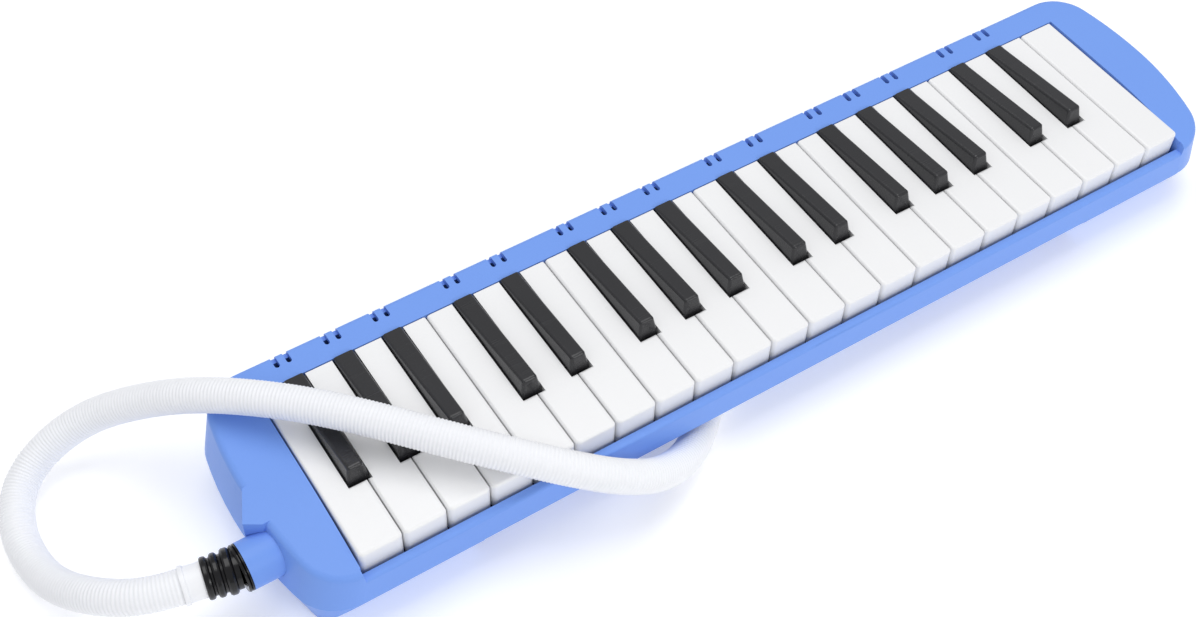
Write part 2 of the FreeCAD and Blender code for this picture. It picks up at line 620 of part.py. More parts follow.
def chamber_gasket():
    ring = box(-CHAMBER_HALF, CHAMBER_HALF, CHAMBER_FRONT_Y, CHAMBER_REAR_Y, TUB_TOP_Z,
               BLOCK_BOTTOM)
    hole = box(-CHAMBER_HALF + TUB_WALL, CHAMBER_HALF - TUB_WALL, CHAMBER_FRONT_Y + TUB_WALL,
               CHAMBER_REAR_Y - TUB_WALL, TUB_TOP_Z - 1, BLOCK_BOTTOM + 1)
    ring = fuse(ring.cut(hole), [lug.cut(hole) for lug in lugs(TUB_TOP_Z, BLOCK_BOTTOM)])
    return ring.cut(lug_holes(TUB_TOP_Z - 1, BLOCK_BOTTOM + 1))


def air_box():
    """The wind box: an open tub under the reeds, with the inlet hole and the drain hole."""
    body = box(-CHAMBER_HALF, CHAMBER_HALF, CHAMBER_FRONT_Y, CHAMBER_REAR_Y, CASE_WALL,
               TUB_TOP_Z)
    hollow = box(-CHAMBER_HALF + TUB_WALL, CHAMBER_HALF - TUB_WALL, CHAMBER_FRONT_Y + TUB_WALL,
                 CHAMBER_REAR_Y - TUB_WALL, CASE_WALL + TUB_WALL, TUB_TOP_Z + 1)
    body = fuse(body, lugs(TUB_TOP_Z - 6.0, TUB_TOP_Z)).cut(hollow)
    cuts = lug_holes(TUB_TOP_Z - 5.0, TUB_TOP_Z + 1)
    cuts.append(cylinder(STUB_R + SOCKET_PLAY, (-CHAMBER_HALF - 1, STUB_Y, STUB_Z),
                         (-CHAMBER_HALF + 4, STUB_Y, STUB_Z)))
    cuts.append(cylinder(DRAIN_STEM_R + 1.0, (CHAMBER_HALF - 4, DRAIN_Y, DRAIN_Z),
                         (CHAMBER_HALF + 1, DRAIN_Y, DRAIN_Z)))
    return body.cut(cuts)


def reed_plate(x0, x1, reeds):
    y0 = CHAMBER_FRONT_Y + TUB_WALL + PLATE_PLAY
    y1 = CHAMBER_REAR_Y - TUB_WALL - PLATE_PLAY
    plate = box(x0, x1, y0, y1, BLOCK_BOTTOM - PLATE_THICK, BLOCK_BOTTOM)
    cuts = []
    for i in reeds:
        x = KEYS[i][6]
        length, width = reed_sizes(i)
        cuts.append(box(x - width / 2 - REED_SIDE, x + width / 2 + REED_SIDE, CELL_REAR_Y - 2
                        - length, CELL_REAR_Y - 2, BLOCK_BOTTOM - 3, BLOCK_BOTTOM + 1))
        cuts.append(cylinder(RIVET_R, (x, rivet_y(i), 0), (x, rivet_y(i), KEY_TOP)))
    cuts += [cylinder(SMALL_SCREW_R + 0.1, (x, y, 0), (x, y, KEY_TOP))
             for x, y in plate_screw_places()]
    return plate.cut(cuts)


RIVET_R = 0.8


def rivet_y(i):
    return CELL_REAR_Y - 2 - reed_sizes(i)[0] - 1.6


def reeds():
    """The brass tongues, each riveted at its front end under its slot."""
    tongues = []
    top = BLOCK_BOTTOM - PLATE_THICK
    for i, key in enumerate(KEYS):
        length, width = reed_sizes(i)
        y0 = CELL_REAR_Y - 2 - length - 3.0
        tongue = box(key[6] - width / 2, key[6] + width / 2, y0, CELL_REAR_Y - 2.2,
                     top - REED_THICK, top)
        tongues.append(tongue.cut(cylinder(RIVET_R, (key[6], rivet_y(i), 0),
                                           (key[6], rivet_y(i), KEY_TOP))))
    return Part.Compound(tongues)


def reed_rivets():
    top = BLOCK_BOTTOM - PLATE_THICK
    rivets = []
    for i, key in enumerate(KEYS):
        x, y = key[6], rivet_y(i)
        shank = cylinder(RIVET_R, (x, y, top - REED_THICK - 0.3), (x, y, BLOCK_BOTTOM))
        head = cylinder(1.05, (x, y, top - REED_THICK - 0.5), (x, y, top - REED_THICK))
        rivets.append(fuse(shank, [head]))
    return Part.Compound(rivets)


def screw(radius, head_radius, head, length, x, y, seat_z, way):
    """A pan-head screw: its head's underside is at seat_z, and it points along way * Z."""
    shank = cylinder(radius, (x, y, seat_z), (x, y, seat_z + way * length))
    cap = cylinder(head_radius, (x, y, seat_z), (x, y, seat_z - way * head))
    slot = box(x - head_radius, x + head_radius, y - 0.3, y + 0.3,
               min(seat_z - way * head, seat_z - way * (head - 0.6)),
               max(seat_z - way * head, seat_z - way * (head - 0.6)))
    return fuse(shank, [cap]).cut(slot)


def case_screws():
    return Part.Compound([screw(CASE_SCREW_R, CASE_SCREW_HEAD_R, CASE_SCREW_HEAD,
                                CASE_SCREW_LENGTH, x, y, CASE_SCREW_SEAT, 1)
                          for x, y in CASE_SCREWS])


def chamber_screws():
    """Identical small screws: down through the chamber's lugs and up through the reed plates."""
    down = [screw(SMALL_SCREW_R, SMALL_SCREW_HEAD_R, SMALL_SCREW_HEAD, SMALL_SCREW_LENGTH, x, y,
                  BLOCK_BOTTOM + 2.0, -1) for x, y in lug_places()]
    up = [screw(SMALL_SCREW_R, SMALL_SCREW_HEAD_R, SMALL_SCREW_HEAD, SMALL_SCREW_LENGTH, x, y,
                BLOCK_BOTTOM - PLATE_THICK, 1) for x, y in plate_screw_places()]
    return Part.Compound(down + up)


MANIFOLD = (-INNER_WALL_X - 12.8, -INNER_WALL_X - 1.2, -30.0, 26.0, 4.0, SOCKET_Z + 6.7)
STUB_Y = 18.0
STUB_Z = 9.0


def air_inlet():
    """The blue hose socket and the duct that leads the wind down into the wind box."""
    x0, x1, y0, y1, z0, z1 = MANIFOLD
    wall = MANIFOLD_WALL
    tube = cylinder(SOCKET_R, (-SOCKET_FACE, SOCKET_Y, SOCKET_Z), (x0 + wall, SOCKET_Y, SOCKET_Z))
    stub = cylinder(STUB_R, (x1 - wall, STUB_Y, STUB_Z),
                    (-CHAMBER_HALF + TUB_WALL + 1, STUB_Y, STUB_Z))
    body = fuse(box(*MANIFOLD), [tube, stub])
    hollow = box(x0 + wall, x1 - wall, y0 + wall, y1 - wall, z0 + wall, z1 - wall)
    bore = cylinder(SOCKET_BORE_R, (-SOCKET_FACE - 1, SOCKET_Y, SOCKET_Z),
                    (x0 + wall + 1, SOCKET_Y, SOCKET_Z))
    drill = cylinder(STUB_BORE_R, (x1 - wall - 1, STUB_Y, STUB_Z),
                     (-CHAMBER_HALF + TUB_WALL + 2, STUB_Y, STUB_Z))
    return body.cut([hollow, bore, drill])


def key_axle():
    reach = INNER_WALL_X + 0.6
    return cylinder(AXLE_D / 2, (-reach, AXLE_Y, AXLE_Z), (reach, AXLE_Y, AXLE_Z))


DRAIN_CAP_X = LOW_HALF - FOOT_INSET - 4.0


def drain_button():
    """The water release: a cap outside, a stem through the end wall and a valve flange."""
    inner = CHAMBER_HALF - TUB_WALL
    cap = cylinder(DRAIN_CAP_R, (DRAIN_CAP_X, DRAIN_Y, DRAIN_Z),
                   (DRAIN_CAP_X + DRAIN_PROUD + 2.5, DRAIN_Y, DRAIN_Z))
    stem = cylinder(DRAIN_STEM_R, (inner - 3.5, DRAIN_Y, DRAIN_Z), (DRAIN_CAP_X, DRAIN_Y, DRAIN_Z))
    collar = cylinder(2.8, (DRAIN_CAP_X - 6.0, DRAIN_Y, DRAIN_Z), (DRAIN_CAP_X - 4.8, DRAIN_Y, DRAIN_Z))
    flange = cylinder(3.6, (inner - 3.5, DRAIN_Y, DRAIN_Z), (inner - 1.5, DRAIN_Y, DRAIN_Z))
    cap = cap.makeFillet(0.8, [e for e in cap.Edges if e.CenterOfMass.x > DRAIN_CAP_X + 3
                               and abs(e.CenterOfMass.y - DRAIN_Y) < 0.1 and len(e.Vertexes) == 1])
    return fuse(cap, [stem, collar, flange])


def drain_seal():
    inner = CHAMBER_HALF - TUB_WALL
    ring = cylinder(4.0, (inner - 1.5, DRAIN_Y, DRAIN_Z), (inner, DRAIN_Y, DRAIN_Z))
    return ring.cut(cylinder(DRAIN_STEM_R, (inner - 2, DRAIN_Y, DRAIN_Z),
                             (inner + 1, DRAIN_Y, DRAIN_Z)))


def drain_spring():
    """A coil spring between the wind box and the button's collar."""
    length = DRAIN_CAP_X - 6.0 - CHAMBER_HALF
    turns = 5
    helix = Part.makeHelix((length - 0.7) / turns, length - 0.7, 2.2)
    section = Part.Wire(Part.makeCircle(0.3, Vector(2.2, 0, 0), Vector(0, 1, 0)))
    coil = Part.Wire(helix).makePipeShell([section], True, True)
    ends = [cylinder(2.6, (0, 0, z), (0, 0, z + 0.6)).cut(cylinder(1.8, (0, 0, z), (0, 0, z + 0.6)))
            for z in (-0.35, length - 0.95)]
    shape = fuse(coil, ends)
    shape.rotate(Vector(0, 0, 0), Vector(0, 1, 0), 90)
    shape.translate(Vector(CHAMBER_HALF + 0.35, DRAIN_Y, DRAIN_Z))
    return shape


NECK_ORIGIN = Vector(-SOCKET_FACE, SOCKET_Y, SOCKET_Z)
NECK_AXIS = Vector(-math.cos(math.radians(NECK_TURN_DEG)), math.sin(math.radians(NECK_TURN_DEG)), 0)


def neck_solid(profile, origin, axis):
    """A closed (distance, radius) profile, spun about the hose's axis at the connector."""
    points = [Vector(r, 0, s) for s, r in profile]
    face = Part.Face(Part.makePolygon(points + points[:1]))
    solid = face.revolve(Vector(0, 0, 0), Vector(0, 0, 1), 360)
    turn = FreeCAD.Rotation(Vector(0, 0, 1), axis)
    solid.Placement = FreeCAD.Placement(origin, turn)
    return solid


def hose_connector():
    """The black rubber neck: a straight plug and base flange, then bent ribbed bellows."""
    straight = Vector(-1, 0, 0)
    plug = neck_solid([(-9, 3.8), (NECK_BASE, 3.8), (NECK_BASE, 8.9), (NECK_BASE - 0.6, SOCKET_R),
                       (1.3, SOCKET_R), (1.0, 8.8), (0.7, SOCKET_R), (0.3, SOCKET_R), (0, 9.0),
                       (0, SOCKET_BORE_R - 0.05), (-9, SOCKET_BORE_R - 0.25)], NECK_ORIGIN,
                      straight)
    rings = [(1.7, 7.5), (3.5, 7.5), (4.0, 8.3), (4.6, 8.75), (6.2, 8.75), (6.9, 8.3), (7.3, 7.2),
             (8.0, 7.1), (8.5, 7.9), (9.1, 8.3), (10.2, 8.3), (10.8, 7.9), (11.2, 7.0),
             (11.8, 7.0), (12.3, 7.8), (12.9, 8.0), (13.9, 8.0), (NECK_LENGTH, 7.6)]
    seat = NECK_LENGTH - CUFF_SPIGOT
    body = neck_solid([(1.7, 3.8)] + rings + [(NECK_LENGTH, CUFF_R), (seat, CUFF_R), (seat, 3.8)],
                      NECK_ORIGIN, NECK_AXIS)
    return fuse(plug, [body])


CUFF_R = 5.9


def hose_cuff():
    """The smooth white sleeve that carries the hose into the rubber neck."""
    seat = NECK_LENGTH - CUFF_SPIGOT
    end = NECK_LENGTH + CUFF_LENGTH
    return neck_solid([(seat, 4.6), (seat, CUFF_R), (NECK_LENGTH, CUFF_R),
                       (NECK_LENGTH, HOSE_R), (end - 2.0, HOSE_R), (end - 1.6, HOSE_R + 0.6),
                       (end, HOSE_R + 0.6), (end, 4.6)], NECK_ORIGIN, NECK_AXIS)


def hose_path():
    """Straight runs joined by tangent arcs through the route's corners."""
    way_out = NECK_LENGTH + CUFF_LENGTH
    points = [NECK_ORIGIN + NECK_AXIS * reach for reach in (way_out, way_out + HOSE_START)]
    points += [Vector(*p) for p in HOSE_ROUTE]
    edges = []
    radii = []
    here = points[0]
    for before, corner, after in zip(points[:-2], points[1:-1], points[2:]):
        u = (corner - before).normalize()
        v = (after - corner).normalize()
        turn = math.acos(max(-1.0, min(1.0, u.dot(v))))
        run = min((corner - before).Length, (after - corner).Length)
        radius = 0.45 * run / math.tan(turn / 2)
        reach = 0.45 * run
        start = corner - u * reach
        end = corner + v * reach
        centre = corner + (v - u).normalize() * (radius / math.cos(turn / 2))
        middle = centre + (corner - centre).normalize() * radius
        edges.append(Part.LineSegment(here, start).toShape())
        edges.append(Part.Arc(start, middle, end).toShape())
        radii.append(radius)
        here = end
    edges.append(Part.LineSegment(here, points[-1]).toShape())
    print("hose radii:", " ".join(f"{r:.0f}" for r in radii))
    return Part.Wire(edges), points


def hose_tube():
    path, points = hose_path()
    direction = (points[1] - points[0]).normalize()
    skins = []
    for radius in (HOSE_R, HOSE_R - HOSE_WALL):
        circle = Part.Wire(Part.makeCircle(radius, points[0], direction))
        skins.append(path.makePipeShell([circle], True, False))
    tube = skins[0].cut(skins[1])
    section = math.pi * (HOSE_R ** 2 - (HOSE_R - HOSE_WALL) ** 2)
    print(f"hose length {path.Length:.1f}, volume {tube.Volume:.0f}, "
          f"section times length {section * path.Length:.0f}")
    return tube


def ellipse_wire(x, half_y, half_z, cy, cz):
    if half_y - half_z < 0.01:
        circle = Part.makeCircle(half_y, Vector(x, cy, cz), Vector(1, 0, 0))
        return Part.Wire(circle)
    curve = Part.Ellipse(Vector(x, cy + half_y, cz), Vector(x, cy, cz + half_z),
                         Vector(x, cy, cz))
    return Part.Wire(curve.toShape())


def mouthpiece():
    """A sleeve on the hose's end that flattens into the player's lip plate."""
    x, y, z = HOSE_ROUTE[-1]
    low = z - 1.6
    stations = [(0, 6.6, 6.55, z), (12, 6.6, 6.55, z), (34, 8.2, 4.2, low), (44, 8.8, 3.6, low),
                (MOUTHPIECE_LENGTH, 8.4, 3.4, low)]
    outer = Part.makeLoft([ellipse_wire(x + s, a, b, y, c) for s, a, b, c in stations], True, False)
    cavity = [(-1, 5.2, 5.15, z), (12, 5.2, 5.15, z), (34, 6.6, 2.6, low), (44, 7.2, 2.0, low),
              (MOUTHPIECE_LENGTH + 1, 7.0, 1.9, low)]
    inner = Part.makeLoft([ellipse_wire(x + s, a, b, y, c) for s, a, b, c in cavity], True, False)
    lip = Part.makeLoft([ellipse_wire(x + 40.5, 9.6, 4.6, y, low),
                         ellipse_wire(x + 42.5, 9.6, 4.6, y, low)], True, False)
    return fuse(outer, [lip]).cut(inner)


def build():
    hole = axle_hole()
    for key in WHITES:
        export(key[0], white_key(key, hole))
    for key in BLACKS:
        export(key[0], black_key(key, hole))
    half_plate = (KEYS[18][6] + KEYS[19][6]) / 2
    edge = CHAMBER_HALF - TUB_WALL - PLATE_PLAY
    single = {
        "upper_case": upper_case(), "lower_case": lower_case(), "key_axle": key_axle(),
        "key_guide_comb": key_guide_comb(), "key_stop_felt": key_stop_felt(),
        "key_springs": key_springs(), "reed_block": reed_block(), "air_box": air_box(),
        "chamber_gasket": chamber_gasket(),
        "reed_plate_low": reed_plate(-edge, half_plate - 0.2, range(19)),
        "reed_plate_high": reed_plate(half_plate + 0.2, edge, range(19, len(KEYS))),
        "reeds": reeds(), "reed_rivets": reed_rivets(), "chamber_screws": chamber_screws(),
        "case_screws": case_screws(), "air_inlet": air_inlet(), "drain_button": drain_button(),
        "drain_seal": drain_seal(), "drain_spring": drain_spring(),
        "hose_connector": hose_connector(), "hose_cuff": hose_cuff(), "hose_tube": hose_tube(),
        "mouthpiece": mouthpiece(),
    }
    for name, shape in single.items():
        export(name, shape)


build()
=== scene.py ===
import math

import bmesh
import bpy
from bpy.props import FloatProperty, FloatVectorProperty, IntProperty, PointerProperty
from mathutils import Matrix, Quaternion, Vector


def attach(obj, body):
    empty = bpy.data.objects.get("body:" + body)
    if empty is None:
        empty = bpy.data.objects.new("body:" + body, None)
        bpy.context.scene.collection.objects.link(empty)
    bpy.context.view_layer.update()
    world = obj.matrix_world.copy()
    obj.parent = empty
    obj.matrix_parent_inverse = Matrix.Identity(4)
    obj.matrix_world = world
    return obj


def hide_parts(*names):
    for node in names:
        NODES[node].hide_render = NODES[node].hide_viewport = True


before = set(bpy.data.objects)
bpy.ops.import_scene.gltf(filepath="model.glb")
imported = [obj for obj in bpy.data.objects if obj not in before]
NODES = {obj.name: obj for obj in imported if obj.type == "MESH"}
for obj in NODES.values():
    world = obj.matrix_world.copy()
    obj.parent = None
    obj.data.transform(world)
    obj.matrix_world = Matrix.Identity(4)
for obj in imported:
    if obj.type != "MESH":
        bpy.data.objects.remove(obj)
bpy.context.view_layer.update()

bl_info = {
    "name": "Melodica",
    "version": (1, 0, 0),
    "blender": (4, 5, 0),
    "location": "3D View > Sidebar > Melodica",
    "description": "A 37-key blow keyboard with its hose, connector and mouthpiece",
    "category": "Object",
}

CASE = "case"

# The hose's route, from the end of its cuff to the mouthpiece, in metres
ROUTE = [
    (-0.2538, -0.0152, 0.0273), (-0.2665, -0.0127, 0.0273), (-0.2805, -0.0015, 0.0235),
    (-0.2910, 0.0155, 0.0150), (-0.2950, 0.0345, 0.0076), (-0.2945, 0.0530, 0.0070),
    (-0.2870, 0.0690, 0.0082), (-0.2725, 0.0765, 0.0135), (-0.2540, 0.0740, 0.0235),
    (-0.2365, 0.0615, 0.0355), (-0.2195, 0.0450, 0.0472), (-0.2030, 0.0280, 0.0536),
    (-0.1865, 0.0115, 0.0560), (-0.1695, -0.0070, 0.0564), (-0.1525, -0.0255, 0.0550),
    (-0.1345, -0.0425, 0.0516), (-0.1160, -0.0555, 0.0440), (-0.0970, -0.0625, 0.0318),
    (-0.0775, -0.0615, 0.0170), (-0.0575, -0.0525, 0.0072), (-0.0425, -0.0390, 0.0070),
    (-0.0280, -0.0275, 0.0070), (-0.0120, -0.0235, 0.0070), (0.0030, -0.0235, 0.0070),
]

STEPS_PER_RIB = 4
FLOOR_GAP = 0.0002

# Each lamp's name, place, width and share of the key light's power
SOFTBOXES = [
    ("softbox_above", (0.15, 0.45, 2.2), 1.6, 1.0),
    ("softbox_left", (-0.7, 0.1, 1.6), 0.8, 0.07),
    ("softbox_front", (0.3, -1.4, 0.9), 0.55, 0.28),
]

# The camera's place, the point it looks at and its roll in degrees
CAMERA_PLACE = Vector((-0.2980, -0.3383, 0.5621))
CAMERA_AIM = Vector((-0.0576, 0.0181, 0.0200))
CAMERA_ROLL = 1.86


def srgb(red, green, blue):
    """A colour given as 0 to 255 on a screen, as the renderer's linear numbers."""
    def linear(level):
        share = level / 255
        return share / 12.92 if share <= 0.04045 else ((share + 0.055) / 1.055) ** 2.4
    return linear(red), linear(green), linear(blue)


# ---------------------------------------------------------------- shader maths


class Value:
    """A shader socket that Python's arithmetic adds Math nodes to."""

    def __init__(self, finish, socket):
        self.finish = finish
        self.socket = socket

    def _math(self, operation, first, second=0.0):
        return self.finish.node("ShaderNodeMath", {"operation": operation}, {0: first, 1: second})

    def __add__(self, other):
        return self._math("ADD", self, other)

    def __mul__(self, other):
        return self._math("MULTIPLY", self, other)

    __radd__ = __add__
    __rmul__ = __mul__


class Finish:
    """One procedural material: its nodes come from node(), its maths from Value."""

    def __init__(self, name):
        self.material = bpy.data.materials.new(name)
        self.material.use_nodes = True
        self.tree = self.material.node_tree
        self.tree.nodes.clear()
        self.place = self.node("ShaderNodeTexCoord", output="Object")

    def node(self, kind, settings=None, sockets=None, output=0):
        made = self.tree.nodes.new(kind)
        for name, value in (settings or {}).items():
            if name == "stops":
                while len(made.color_ramp.elements) < len(value):
                    made.color_ramp.elements.new(1.0)
                for element, (position, level) in zip(made.color_ramp.elements, value):
                    element.position = position
                    element.color = (level, level, level, 1.0)
            else:
                setattr(made, name, value)
        for name, value in (sockets or {}).items():
            if isinstance(value, Value):
                self.tree.links.new(value.socket, made.inputs[name])
            else:
                made.inputs[name].default_value = value
        return Value(self, made.outputs[output])

    def stretched(self, scale, place=None):
        """Object coordinates stretched by a different number along each axis."""
        return self.node("ShaderNodeMapping", {}, {"Vector": place or self.place, "Scale": scale})

    def noise(self, scale, detail=2.0, roughness=0.5, place=None):
        sockets = {"Vector": place or self.place, "Scale": scale, "Detail": detail,
                   "Roughness": roughness}
        return self.node("ShaderNodeTexNoise", {}, sockets, "Fac")

    def ramp(self, factor, *stops):
        return self.node("ShaderNodeValToRGB", {"stops": stops}, {"Fac": factor})

    def blend(self, share, first, second):
        """A colour between two colours; each is three numbers or a Value."""
        pair = [c if isinstance(c, Value) else (*c, 1.0) for c in (first, second)]
        return self.node("ShaderNodeMix", {"data_type": "RGBA"},
                         {"Factor": share, 6: pair[0], 7: pair[1]}, 2)

    def bump(self, height, distance, strength=1.0, normal=None):
        sockets = {"Height": height, "Distance": distance, "Strength": strength}
        if normal:
            sockets["Normal"] = normal
        return self.node("ShaderNodeBump", {}, sockets)

    def surface(self, sockets):
        shader = self.node("ShaderNodeBsdfPrincipled", {}, sockets)
        output = self.tree.nodes.new("ShaderNodeOutputMaterial")
        self.tree.links.new(shader.socket, output.inputs["Surface"])
        return self.material


def moulded_plastic(name, colour, shade, roughness, gloss=0.5, grain=900.0, grain_depth=0.00012):
    """Injection-moulded plastic: a slow drift in tone, a fine skin and faint hairline rubs."""
    finish = Finish(name)
    drift = finish.noise(9.0, 3.0, 0.6)
    rubs = finish.noise(260.0, 2.0, 0.7, finish.stretched((0.12, 1.0, 1.0)))
    skin = finish.noise(grain, 2.0, 0.55)
    sink = finish.noise(55.0, 1.0)
    tone = finish.ramp(drift, (0.30, 0.0), (0.72, 1.0))
    hairline = finish.ramp(rubs, (0.56, 0.0), (0.74, 1.0))
    return finish.surface({
        "Base Color": finish.blend(tone, shade, colour),
        "Roughness": drift * 0.10 + hairline * 0.07 + (roughness - 0.06),
        "Normal": finish.bump(sink, 0.00004, 0.6, finish.bump(skin, grain_depth, 0.35)),
        "Specular IOR Level": gloss,
        "IOR": 1.49,
    })


def hose_plastic(colour, cloud_and_groove_shade):
    """Soft translucent tubing, a little rougher down in the grooves, where its colour is darkened
    as painted shade.
    """
    finish = Finish("hose_plastic")
    groove = finish.node("ShaderNodeAttribute", {"attribute_name": "groove"}, {}, "Fac")
    cloud = finish.noise(30.0, 3.0, 0.6)
    skin = finish.noise(1400.0, 2.0, 0.5)
    base = finish.blend(cloud * 0.35, colour, cloud_and_groove_shade)
    return finish.surface({
        # Painted shade: the colour darkens as the groove deepens.
        "Base Color": finish.blend(groove * 0.25, base, cloud_and_groove_shade),
        "Roughness": cloud * 0.12 + groove * 0.15 + 0.36,
        "Normal": finish.bump(skin, 0.00006, 0.35),
        "Subsurface Weight": 0.25,
        "Subsurface Radius": (1.0, 1.0, 1.0),
        "Subsurface Scale": 0.0015,
        "IOR": 1.46,
    })


def soft_rubber(name, colour, worn, roughness=0.45):
    """Soft rubber with a bloom on it and a fine pebbled skin."""
    finish = Finish(name)
    bloom = finish.ramp(finish.noise(120.0, 4.0, 0.65), (0.45, 0.0), (0.80, 1.0))
    skin = finish.noise(1800.0, 3.0, 0.6)
    return finish.surface({
        "Base Color": finish.blend(bloom * 0.5, colour, worn),
        "Roughness": bloom * 0.15 + (roughness - 0.05),
        "Normal": finish.bump(skin, 0.00008, 0.35),
        "Specular IOR Level": 0.35,
    })


def brushed_metal(name, colour, shade, roughness, along=(1.0, 0.03, 1.0)):
    """Rolled or brushed metal with fine lines along one way and a few tarnish clouds."""
    finish = Finish(name)
    lines = finish.noise(2600.0, 3.0, 0.7, finish.stretched(along))
    tarnish = finish.ramp(finish.noise(70.0, 4.0, 0.6), (0.40, 0.0), (0.75, 1.0))
    return finish.surface({
        "Base Color": finish.blend(tarnish * 0.6, colour, shade),
        "Metallic": 1.0,
        "Roughness": lines * 0.16 + tarnish * 0.12 + (roughness - 0.08),
        "Normal": finish.bump(lines, 0.00003, 0.5),
    })


def wool_felt(name, colour, deep):
    """Pressed wool felt: tangled fibres over soft clumps."""
    finish = Finish(name)
    fibres = finish.noise(2400.0, 6.0, 0.8, finish.stretched((1.0, 0.45, 0.8)))
    clumps = finish.noise(350.0, 3.0, 0.6)
    return finish.surface({
        "Base Color": finish.blend(fibres * 0.6 + clumps * 0.4, deep, colour),
        "Roughness": fibres * 0.08 + 0.88,
        "Normal": finish.bump(fibres * 0.7 + clumps * 0.3, 0.0003, 0.8),
        "Sheen Weight": 0.5,
    })


def studio_floor(colour, glow):
    """Plain pale paper, lit a little from behind."""
    finish = Finish("studio_paper")
    fibre = finish.noise(700.0, 4.0, 0.6)
    return finish.surface({
        "Base Color": finish.blend(fibre * 0.04, colour, (0.8, 0.8, 0.8)),
        "Roughness": fibre * 0.05 + 0.85,
        "Normal": finish.bump(fibre, 0.00002, 0.2),
        "Emission Color": (1.0, 1.0, 1.0, 1.0),
        "Emission Strength": glow,
    })


# ---------------------------------------------------------------- pieces


def make_piece(bm, name, finish, replaced):
    """Turns a bmesh into a finished piece that rides on the case and stands for a CAD node."""
    bmesh.ops.recalc_face_normals(bm, faces=bm.faces)
    for face in bm.faces:
        face.smooth = True
    mesh = bpy.data.meshes.new(name)
    bm.to_mesh(mesh)
    bm.free()
    mesh.materials.append(finish)
    piece = bpy.data.objects.new(name, mesh)
    bpy.context.scene.collection.objects.link(piece)
    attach(piece, CASE)
    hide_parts(replaced)
    return piece


def dress(finish, *names):
    """Gives CAD nodes a finish."""
    for name in names:
        for slot in NODES[name].material_slots:
            slot.material = finish


def numbered(prefix):
    """The names of the nodes that start alike, such as the white keys'."""
    return sorted(name for name in NODES if name.startswith(prefix))


def read_route(points):
    """The smooth line that has the route's points as its control points."""
    curve = bpy.data.curves.new("hose_route", "CURVE")
    curve.dimensions = "3D"
    spline = curve.splines.new("NURBS")
    spline.points.add(len(points) - 1)
    for point, place in zip(spline.points, points):
        point.co = (*place, 1.0)
    spline.order_u = 3
    spline.use_endpoint_u = True
    spline.resolution_u = 40
    holder = bpy.data.objects.new("hose_route", curve)
    mesh = bpy.data.meshes.new_from_object(holder)
    line = [vertex.co.copy() for vertex in mesh.vertices]
    bpy.data.objects.remove(holder)
    bpy.data.curves.remove(curve)
    bpy.data.meshes.remove(mesh)
    return line


def stations(line, spacing):
    """Evenly spaced (place, direction) along a line of points."""
    reach = [0.0]
    for before, after in zip(line, line[1:]):
        reach.append(reach[-1] + (after - before).length)
    count = round(reach[-1] / spacing)
    places = []
    segment = 0
    for step in range(count + 1):
        wanted = reach[-1] * step / count
        while segment < len(line) - 2 and reach[segment + 1] < wanted:
            segment += 1
        share = (wanted - reach[segment]) / (reach[segment + 1] - reach[segment])
        places.append(line[segment].lerp(line[segment + 1], min(share, 1.0)))
    directions = []
    for i in range(len(places)):
        before = places[max(i - 1, 0)]
        after = places[min(i + 1, len(places) - 1)]
        directions.append((after - before).normalized())
    return list(zip(places, directions)), reach[-1]


def carried_frames(places):
    """Frames along a path that never twist: each one is the last one, turned as the path turns."""
    frames = []
    turn = places[0][1].to_track_quat("Z", "Y")
    last = places[0][1]
    for place, direction in places:
        turn = last.rotation_difference(direction) @ turn
        last = direction
        frames.append(Matrix.Translation(place) @ turn.to_matrix().to_4x4())
    return frames


def ribbed_hose(sizes):
    """One ring of points, extruded rib by rib along the route."""
    line = read_route(ROUTE)
    places, length = stations(line, sizes.rib_pitch / STEPS_PER_RIB)
    frames = carried_frames(places)
    bm = bmesh.new()
    groove = bm.verts.layers.float.new("groove")
    top = sizes.diameter / 2
    radius = top
    bmesh.ops.create_circle(bm, segments=sizes.sides, radius=radius, matrix=frames[0])
    edges = list(bm.edges)
    first = edges
    for step in range(1, len(frames)):
        depth = (1 - math.cos(math.tau * step / STEPS_PER_RIB)) / 2
        wanted = top - sizes.rib_depth * depth
        made = bmesh.ops.extrude_edge_only(bm, edges=edges)["geom"]
        ring = [part for part in made if isinstance(part, bmesh.types.BMVert)]
        edges = [part for part in made if isinstance(part, bmesh.types.BMEdge)]
        move = frames[step] @ Matrix.Scale(wanted / radius, 4) @ frames[step - 1].inverted()
        bmesh.ops.transform(bm, matrix=move, verts=ring)
        for vertex in ring:
            vertex[groove] = depth
        radius = wanted
    bmesh.ops.contextual_create(bm, geom=first)
    bmesh.ops.contextual_create(bm, geom=edges)
    return bm, [place for place, direction in places], length


# ---------------------------------------------------------------- settings


class MelodicaCase(bpy.types.PropertyGroup):
    colour: FloatVectorProperty(name="Colour", description="Blue of the case", size=3,
                                subtype="COLOR", default=(0.192, 0.355, 0.845))
    shade: FloatVectorProperty(name="Shade", description="Deeper blue that the case drifts to",
                               size=3, subtype="COLOR", default=(0.184, 0.342, 0.832))
    roughness: FloatProperty(name="Roughness", description="How dull the case is", default=0.34,
                             min=0.0, max=1.0, subtype="FACTOR")


class MelodicaKeys(bpy.types.PropertyGroup):
    white: FloatVectorProperty(name="White", description="Colour of the white keys", size=3,
                               subtype="COLOR", default=(0.88, 0.88, 0.885))
    black: FloatVectorProperty(name="Black", description="Colour of the black keys", size=3,
                               subtype="COLOR", default=(0.026, 0.026, 0.029))


